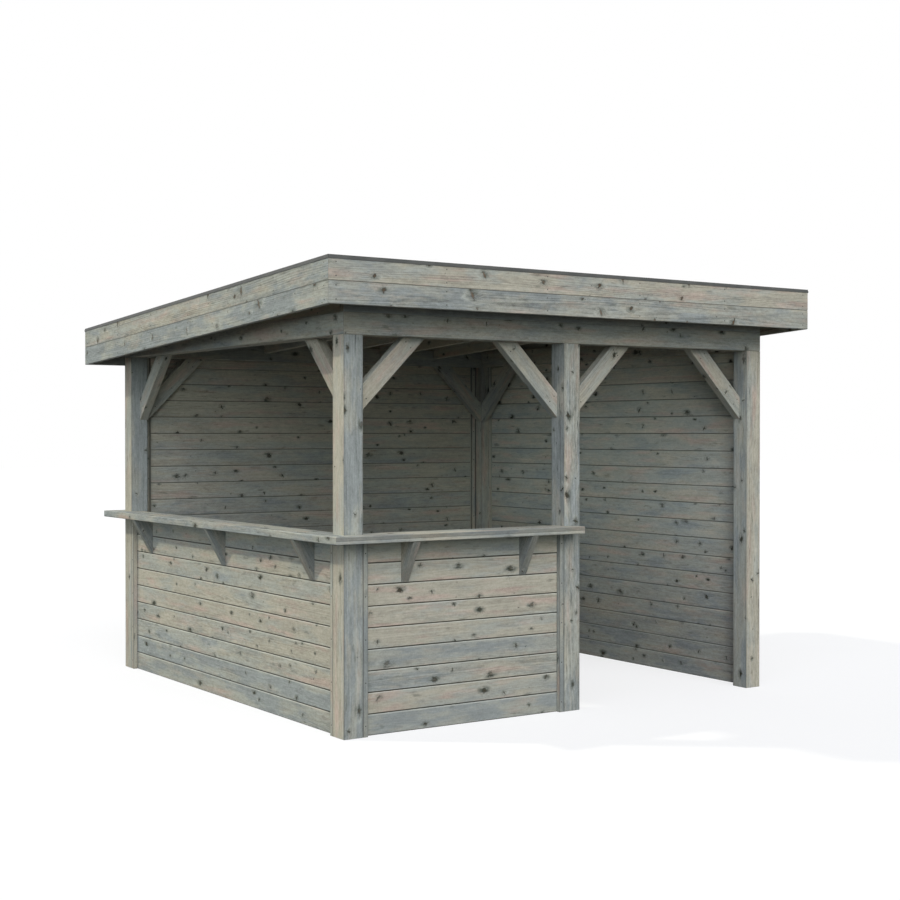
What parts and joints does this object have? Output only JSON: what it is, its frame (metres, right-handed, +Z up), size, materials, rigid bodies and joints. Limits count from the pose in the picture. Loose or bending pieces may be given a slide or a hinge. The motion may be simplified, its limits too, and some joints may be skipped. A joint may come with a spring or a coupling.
{
  "type": "garden pavilion with bar",
  "caption": "Timber garden pavilion with a lean-to roof, two boarded walls, an open doorway and a low boarded bar under an L-shaped counter.",
  "frame": {"origin": "on the ground in the middle of the square timber frame", "axes": "+X to the right along the front, +Y from the front to the rear wall, +Z up"},
  "size_m": [3.506, 3.506, 2.5502],
  "materials": {
    "timber_frame": "weathered grey-brown sawn softwood",
    "wall_boards": "weathered grey-brown planed boards",
    "counter_planks": "weathered grey-brown planed plank",
    "roof_boards": "weathered sawn boards",
    "roof_covering": "matt black sheet",
    "fascia_boards": "weathered grey-brown planed boards",
    "roof_trim": "grey coated"
  },
  "bodies": {
    "root": {"post_front_left": "timber_frame", "post_front_middle": "timber_frame", "post_front_right": "timber_frame", "post_rear_left": "timber_frame", "post_rear_right": "timber_frame", "beam_front": "timber_frame", "beam_right": "timber_frame", "beam_rear": "timber_frame", "beam_left": "timber_frame", "knee_braces_front": "timber_frame", "knee_braces_rear": "timber_frame", "knee_braces_left": "timber_frame", "knee_braces_right": "timber_frame", "front_brackets": "timber_frame", "left_brackets": "timber_frame", "front_plate": "timber_frame", "rafters": "timber_frame", "side_rafters": "timber_frame", "edge_rafters": "timber_frame", "rear_wall": "wall_boards", "right_wall": "wall_boards", "left_bar_wall": "wall_boards", "front_bar_wall": "wall_boards", "rear_wall_battens": "wall_boards", "right_wall_battens": "wall_boards", "left_bar_battens": "wall_boards", "front_bar_battens": "wall_boards", "counter_front": "counter_planks", "counter_left": "counter_planks", "roof_deck": "roof_boards", "roof_covering": "roof_covering", "fascia_front_upper": "fascia_boards", "fascia_front_lower": "fascia_boards", "fascia_rear_upper": "fascia_boards", "fascia_rear_lower": "fascia_boards", "fascia_left_upper": "fascia_boards", "fascia_left_lower": "fascia_boards", "fascia_right_upper": "fascia_boards", "fascia_right_lower": "fascia_boards", "roof_trim_front": "roof_trim", "roof_trim_rear": "roof_trim", "roof_trim_left": "roof_trim", "roof_trim_right": "roof_trim"}
  },
  "joints": []
}
